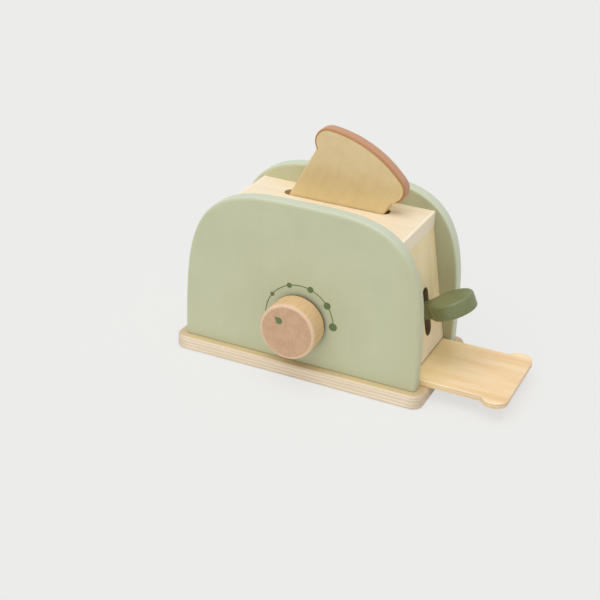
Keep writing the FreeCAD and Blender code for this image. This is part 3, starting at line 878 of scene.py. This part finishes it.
class Assembly(ABC):
    """A sub-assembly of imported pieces, each with its finish."""

    @abstractmethod
    def finishes(self) -> dict[str, Finish]:
        """Says which finish each node gets, in the order of dressing."""

    def build(self) -> None:
        """Dresses every node."""
        for node, finish in self.finishes().items():
            dress(node, finish)


@dataclass
class Casing(Assembly):
    """The boards that stand still, with the dowels and screws that join them."""

    base_plies: int = 9
    floor_plies: int = 3
    lever_slot_middle: float = 5.7
    lever_slot: Pair = (23.9, 51.2)
    toast_slot_middles: Pair = (-15.8, 15.8)
    toast_slot: Pair = (-38.7, 38.7)
    slot_radius: float = 6.5
    wall_lean: float = 10.2
    top_end_slope: float = 2.3

    def panel_paint(self) -> Paint:
        """The panels' sage coat, with painted sheen on the edges and painted shade at the right
        end, in the recess and at the foot.
        """
        low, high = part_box("rear_panel")
        inner = low.y * PER_MM
        outer = high.y * PER_MM
        foot = low.z * PER_MM
        rim = (206, 213, 190)
        inside = Seam(rim, 1.0, "Y", inner + 0.6, inner + 0.2, both_sides=True)
        front = Seam(rim, 1.0, "Y", -30.0, -40.0)
        return Paint(
            "sprayed_sage",
            (202, 205, 172),
            (197, 200, 166),
            turn=Along.Z.value,
            show=0.3,
            tints=(
                # Painted sheen on the panels' edges.
                Seam(rim, 1.0, "Y", inner + 0.3, inner + 1.6, both_sides=True, until=outer - 0.3),
                # Painted shade with a warm painted reflection at the front panel's right end.
                Seam((197, 196, 160), 0.6, "X", 70.0, 95.0, within=front),
                # Painted shade in the recess between the panels, right of the end wall.
                Seam((173, 174, 140), 0.85, "X", 50.0, 68.0, within=inside),
                Seam((206, 206, 168), 0.8, "X", 20.0, -20.0, within=inside),
                # Painted contact shadow at the panels' foot.
                Seam((128, 116, 78), 0.6, "Z", foot + 1.0, foot + 0.4),
            ),
        )

    def wall_wood(self, node: str, *extra: Tint) -> Timber:
        """An end wall's wood: pale, paler towards its foot as painted light, with painted shade in
        the gaps along its sides and foot.
        """
        low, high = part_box(node)
        side = high.y * PER_MM
        foot = low.z * PER_MM
        return Timber(
            "pale_" + node,
            (255, 239, 196),
            (244, 219, 166),
            (224, 192, 144),
            turn=Along.Z.value,
            heart=(0.0, 80.0, 15.0),
            ring_width=9.0,
            breadth=0.55,
            tints=(
                # Paler towards the foot, as painted light.
                Seam((255, 241, 220), 0.65, "Z", foot + 26.0, foot),
                # Painted shade in the gaps beside the panels and above the tray.
                Seam(GAP_SHADE, 0.6, "Y", side - 0.7, side - 0.2, both_sides=True),
                Seam(GAP_SHADE, 0.7, "Z", foot + 1.1, foot + 0.5),
                *extra,
            ),
        )

    def lever_slot_shade(self) -> SlotShade:
        """Painted shade inside the lever's slot, in the lean of its wall."""
        turn = (0.0, self.wall_lean, 0.0)
        size = (self.lever_slot_middle, self.slot_radius, self.lever_slot)
        return SlotShade((112, 88, 58), 0.85, *size, "Z", turn)

    def top_wood(self) -> Timber:
        """The top board's wood, with a painted highlight on its end faces and painted shade inside
        its slots.
        """
        _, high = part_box("top_board")
        end = high.x * PER_MM - self.top_end_slope
        # Painted highlight on both end faces.
        tints = [Seam((255, 241, 216), 0.85, "X", end - 0.2, end + 0.3, both_sides=True)]
        for middle in self.toast_slot_middles:
            size = (middle, self.slot_radius, self.toast_slot)
            # Painted shade inside each toast slot.
            tints.append(SlotShade((184, 154, 112), 0.8, *size, "X"))
        return Timber("pale_top_board", *PALE_WOOD, tints=tuple(tints))

    def base_wood(self) -> Plywood:
        """The base board's plywood, golden on its face, with painted shade at its two ends."""
        low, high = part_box("base_board")
        top = high.z * PER_MM
        end = high.x * PER_MM
        return Plywood(
            "base_plywood",
            (252, 236, 210),
            (240, 222, 192),
            (230, 211, 188),
            (176, 148, 122),
            glue_show=0.42,
            tints=(
                Seam((216, 194, 150), 1.0, "Z", top - 0.9, top - 0.2),
                # Painted shade on both ends of the board.
                Seam((192, 170, 142), 0.5, "X", end - 14.0, end, both_sides=True),
            ),
            **Plywood.layers(low.z, high.z, self.base_plies),
        )

    def floor_wood(self) -> Plywood:
        """The thin plywood of the floor under the toast."""
        low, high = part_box("floor_board")
        tones = ((240, 220, 184), (226, 200, 158), (206, 178, 140), (150, 116, 80))
        return Plywood("floor_plywood", *tones, **Plywood.layers(low.z, high.z, self.floor_plies))

    def finishes(self) -> dict[str, Finish]:
        """Says which finish each board and fastener gets."""
        paint = self.panel_paint()
        return {
            "base_board": self.base_wood(),
            "front_panel": paint,
            "rear_panel": paint,
            "top_board": self.top_wood(),
            "left_end_wall": self.wall_wood("left_end_wall"),
            "right_end_wall": self.wall_wood("right_end_wall", self.lever_slot_shade()),
            "floor_board": self.floor_wood(),
            "centre_divider": DIVIDER,
            "top_board_dowels": DOWEL_ACROSS,
            "left_wall_dowels": DOWEL_ACROSS,
            "right_wall_dowels": DOWEL_ACROSS,
            "divider_dowels": DOWEL_UPRIGHT,
            "base_screws": STEEL,
        }


class Dial(Assembly):
    """The knob, what carries it, and the printed dial behind it."""

    def beech(self) -> Turned:
        """The knob's wood, placed on the knob's own axis."""
        low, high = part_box("knob")
        back = high.y * PER_MM
        return Turned(
            "beech_knob",
            (216, 180, 144),
            (196, 154, 121),
            (184, 140, 104),
            turn=Along.Y.value,
            heart=(0.0, -22.0, -42.0),
            ring_width=2.3,
            rings=0.26,
            streaks=0.44,
            flecks=0.2,
            rim=(244, 214, 182),
            side=(232, 198, 152),
            side_dark=(218, 180, 132),
            # A dark line round the back of the knob's side: partly its darker back edge, partly
            # painted shade of the washer gap.
            tints=(Seam(GAP_SHADE, 0.9, "Y", back - 2.6, back - 1.6),),
            middle=((low.x + high.x) / 2 * PER_MM, 0.0, (low.z + high.z) / 2 * PER_MM),
            radius=(high.x - low.x) / 2 * PER_MM,
            front=low.y * PER_MM,
        )

    def finishes(self) -> dict[str, Finish]:
        """Says which finish the knob, its axle and the print get."""
        beech = self.beech()
        return {
            "dial_print": GREEN_INK,
            "knob_washer": FIBRE,
            "knob": beech,
            "knob_axle": DOWEL_ACROSS,
            "knob_retainer": beech,
            "knob_pointer": GREEN_INK,
        }


@dataclass
class RockingLever(Assembly):
    """The lever with its axle and the steel bar that lifts the toast."""

    tilt: float = 25.7

    def finishes(self) -> dict[str, Finish]:
        """Says which finish the lever and its rods get."""
        tones = ((133, 139, 95), (112, 120, 80))
        turn = (0.0, self.tilt, 0.0)
        return {
            "lever": Paint("brushed_olive", *tones, turn=turn, show=0.6, roughness=0.4),
            "lift_bar": STEEL,
            "lever_axle": DOWEL_ACROSS,
        }


@dataclass
class Tray(Assembly):
    """The thin plywood tray under the body."""

    plies: int = 3

    def finishes(self) -> dict[str, Finish]:
        """Says which finish the tray gets, with its layers counted from its lower face."""
        low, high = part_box("tray")
        top = high.z * PER_MM
        ply = Plywood(
            "birch_tray",
            (254, 230, 193),
            (236, 196, 140),
            (240, 212, 174),
            (172, 128, 88),
            heart=(0.0, 60.0, 35.0),
            ring_width=14.0,
            glue_show=0.9,
            rings=0.25,
            streaks=0.5,
            breadth=0.7,
            tints=(
                # Painted light near the body, where the body shades the tray.
                Seam((255, 231, 174), 0.8, "X", 134.0, 102.0),
                Cloud((242, 206, 152), 0.25, 0.06),
                Seam((255, 240, 214), 0.8, "Z", top - 1.1, top - 0.7, until=top - 0.05),
            ),
            **Plywood.layers(low.z, high.z, self.plies),
        )
        return {"tray": ply}


@dataclass
class Toast:
    """The slice of toast: drawn upright, bevelled, then leant in its slot."""

    body: str = "toast"
    height: float = 85.5 * MM
    body_width: float = 72.9 * MM
    head_width: float = 84.8 * MM
    lobe_drop: float = 17.5 * MM
    lobe_radius: float = 11.6 * MM
    neck_radius: float = 3.0 * MM
    foot_radius: float = 5.0 * MM
    arris: float = 1.8 * MM
    arris_steps: int = 4
    corner_steps: int = 8
    lobe_steps: int = 22
    crown_steps: int = 32
    plies: int = 9
    arris_inset: float = 0.6
    crust_foot_left: float = 58.0 * MM
    crust_foot_right: float = 61.8 * MM
    face_turned: float = 0.99

    def lean(self) -> float:
        """How far the slice leans, in radians, from the joint that it slides on."""
        axis = next(joint["axis"] for joint in frame["joints"] if joint["child"] == self.body)
        return math.atan2(axis[0], axis[2])

    def outline(self, thickness: float) -> Piece:
        """Draws the slice upright: feet, sides, necks, lobes and crown.

        Args:
            thickness: The board's thickness, in metres.

        Returns:
            The slice, with sharp edges.
        """
        half = self.body_width / 2
        foot = self.foot_radius
        lobe = (self.head_width / 2 - self.lobe_radius, self.height - self.lobe_drop)
        rise = lobe[0] ** 2 + self.lobe_drop**2 - self.lobe_radius**2
        crown = rise / (2 * (self.lobe_drop - self.lobe_radius))
        crown_z = self.height - crown
        crown_turn = math.degrees(math.atan2(lobe[1] - self.height + crown, lobe[0]))
        neck_x = half + self.neck_radius
        span = self.lobe_radius + self.neck_radius
        neck_z = lobe[1] - math.sqrt(span**2 - (neck_x - lobe[0]) ** 2)
        neck_turn = math.degrees(math.atan2(neck_z - lobe[1], neck_x - lobe[0]))
        lobe_turn = crown_turn - neck_turn
        pen = Pen("toast_slice_shape", half - foot, 0.0)
        pen.arc((half - foot, foot), 90.0, self.corner_steps)
        pen.line(half, neck_z)
        pen.arc((neck_x, neck_z), neck_turn, self.corner_steps)
        pen.arc(lobe, lobe_turn, self.lobe_steps)
        pen.arc((0.0, crown_z), 180.0 - 2 * crown_turn, self.crown_steps)
        pen.arc((-lobe[0], lobe[1]), lobe_turn, self.lobe_steps)
        pen.arc((-neck_x, neck_z), neck_turn, self.corner_steps)
        pen.line(-half, foot)
        pen.arc((foot - half, foot), 90.0, self.corner_steps)
        pen.line(half - foot, 0.0)
        return pen.close(thickness)

    def soften(self, piece: Piece) -> None:
        """Rounds the slice's long edges and gives its rim the crust."""
        with editing(piece):
            flat = self.arris / 100
            pick(piece, Pick.EDGE, lambda edge: abs(edge.verts[0].co.y - edge.verts[1].co.y) < flat)
            bpy.ops.mesh.bevel(offset=self.arris, segments=self.arris_steps, affect="EDGES")
            pick(piece, Pick.FACE, self.is_crust)
            piece.active_material_index = 1
            bpy.ops.object.material_slot_assign()

    def is_crust(self, face: bmesh.types.BMFace) -> bool:
        """Whether a face belongs to the head's rim."""
        middle = face.calc_center_median()
        foot = self.crust_foot_left if middle.x < 0.0 else self.crust_foot_right
        return abs(face.normal.y) < self.face_turned and middle.z > foot

    def bread(self, low: Vector, high: Vector) -> Plywood:
        """The slice's own plywood, whose layers are counted from its front face."""
        return Plywood(
            "toasted_face",
            (235, 211, 158),
            (228, 202, 147),
            (214, 184, 126),
            (176, 140, 92),
            thickness=(0.0, 1.0, 0.0),
            turn=(0.0, 90.0 - math.degrees(self.lean()), 0.0),
            rings=0.1,
            streaks=0.25,
            breadth=1.3,
            tints=(
                Seam((234, 212, 166), 0.8, "Z", 146.0, 160.0),
                Cloud((220, 194, 142), 0.3, 0.12),
                Seam((246, 222, 166), 0.4, "Z", 148.0, 126.0),
            ),
            **Plywood.layers(low.y, high.y, self.plies),
        )

    def crust(self, low: Vector, high: Vector) -> Crust:
        """The stain on the slice's rim, placed between its two faces."""
        return Crust(
            "toasted_rim",
            (203, 151, 116),
            (190, 152, 130),
            (184, 130, 84),
            (166, 138, 118),
            middle=(low.y + high.y) / 2 * PER_MM,
            reach=(high.y - low.y) * PER_MM / 2 - self.arris_inset,
            tints=(Seam((164, 122, 92), 0.6, "X", 48.0, 70.0),),
        )

    def build(self) -> None:
        """Models the slice and leans it where the model has it."""
        low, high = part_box("toast_slice")
        piece = self.outline(high.y - low.y)
        for finish in (self.bread(low, high), self.crust(low, high)):
            piece.data.materials.append(finish.build())
        self.soften(piece)
        lean = self.lean()
        foot = self.foot_radius
        reach = self.body_width / 2 - foot
        piece.rotation_euler = (0.0, lean, 0.0)
        piece.location = (
            low.x + foot * (1 - math.sin(lean)) + reach * math.cos(lean),
            low.y,
            low.z + foot * (1 - math.cos(lean)) + reach * math.sin(lean),
        )
        hand_over(piece, self.body, "toast_slice")


# ---- studio
@dataclass(frozen=True)
class Sun:
    """One wide, soft light from far away, with its spread in degrees."""

    name: str
    strength: float
    spread: float
    place: Triple

    def hang(self) -> None:
        """Hangs the light so that it shines from its place."""
        deselect()
        bpy.ops.object.light_add(type="SUN")
        sun = bpy.context.object
        sun.name = self.name
        sun.data.energy = self.strength
        sun.data.angle = math.radians(self.spread)
        sun.rotation_mode = "QUATERNION"
        sun.rotation_quaternion = Vector(self.place).to_track_quat("Z", "Y")


@dataclass
class Studio:
    """The pale floor, the soft light and the camera."""

    backdrop: Colour = (236, 236, 234)
    floor_size: float = 8.0
    floor_glow: float = 0.78
    floor_roughness: float = 0.9
    sky: float = 0.5
    key: Sun = Sun("key_sun", 1.5, 60.0, (-0.05, -0.25, 0.97))
    fill: Sun = Sun("fill_sun", 0.4, 90.0, (-0.25, -0.9, 0.35))
    camera_place: Triple = (0.34502, -0.82587, 0.48984)
    azimuth: float = 23.9
    elevation: float = 26.49
    roll: float = 2.66
    lens: float = 73.73
    sensor: float = 36.0

    def backdrop_seen(self, graph: Graph) -> Socket:
        """Says where a ray shows the backdrop itself: seen straight, or in a gloss or glass."""
        path = graph.add("ShaderNodeLightPath")
        seen = graph.math("MAXIMUM", path.outputs["Is Camera Ray"], path.outputs["Is Glossy Ray"])
        return graph.math("MAXIMUM", seen, path.outputs["Is Transmission Ray"])

    def floor(self) -> None:
        """Lays the floor, which glows in the backdrop's colour and keeps a soft shadow."""
        deselect()
        bpy.ops.mesh.primitive_plane_add(size=self.floor_size)
        floor = bpy.context.object
        floor.name = "floor"
        material = bpy.data.materials.new("studio_floor")
        material.use_nodes = True
        tree = material.node_tree
        graph = Graph(tree)
        shader = tree.nodes["Principled BSDF"]
        shader.inputs["Base Color"].default_value = linear(self.backdrop)
        shader.inputs["Roughness"].default_value = self.floor_roughness
        shader.inputs["Specular IOR Level"].default_value = 0.0
        glow = graph.add("ShaderNodeEmission", {"Color": linear(self.backdrop), "Strength": 1.0})
        share = graph.times(self.backdrop_seen(graph), self.floor_glow)
        mix = graph.add("ShaderNodeMixShader", {0: share, 1: shader.outputs[0], 2: glow.outputs[0]})
        graph.feed(tree.nodes["Material Output"].inputs["Surface"], mix.outputs[0])
        floor.data.materials.append(material)

    def lights(self) -> None:
        """Sets the even sky, a wide key light from the left and a weak fill from the front."""
        world = bpy.data.worlds.new("studio_sky")
        bpy.context.scene.world = world
        world.use_nodes = True
        graph = Graph(world.node_tree)
        light = world.node_tree.nodes["Background"]
        light.inputs["Color"].default_value = (1.0, 1.0, 1.0, 1.0)
        light.inputs["Strength"].default_value = self.sky
        seen = graph.add("ShaderNodeBackground", {"Color": linear(self.backdrop), "Strength": 1.0})
        inputs = {0: self.backdrop_seen(graph), 1: light.outputs[0], 2: seen.outputs[0]}
        mix = graph.add("ShaderNodeMixShader", inputs)
        graph.feed(world.node_tree.nodes["World Output"].inputs["Surface"], mix.outputs[0])
        self.key.hang()
        self.fill.hang()

    def camera(self) -> None:
        """Places the camera in front, to the right and above, with its slight roll."""
        azimuth = math.radians(self.azimuth)
        elevation = math.radians(self.elevation)
        roll = math.radians(self.roll)
        flat = math.cos(elevation)
        back = Vector((math.sin(azimuth) * flat, -math.cos(azimuth) * flat, math.sin(elevation)))
        level = Vector((math.cos(azimuth), math.sin(azimuth), 0.0))
        upright = back.cross(level)
        right = level * math.cos(roll) + upright * math.sin(roll)
        up = upright * math.cos(roll) - level * math.sin(roll)
        turn = Matrix((right, up, back)).transposed().to_4x4()
        deselect()
        bpy.ops.object.camera_add()
        camera = bpy.context.object
        camera.name = "studio_camera"
        camera.matrix_world = Matrix.Translation(self.camera_place) @ turn
        camera.data.sensor_width = self.sensor
        camera.data.lens = self.lens
        bpy.context.scene.camera = camera

    def build(self) -> None:
        """Sets up floor, lights, camera and plain colours."""
        bpy.context.scene.view_settings.view_transform = "Standard"
        self.floor()
        self.lights()
        self.camera()


def main() -> None:
    """Builds the studio and every sub-assembly in order."""
    logging.basicConfig(level=logging.INFO, format="%(message)s")
    for part in (Studio(), Casing(), Dial(), RockingLever(), Tray(), Toast()):
        part.build()
        LOG.info("built %s", type(part).__name__)


if __name__ == "__main__":
    main()
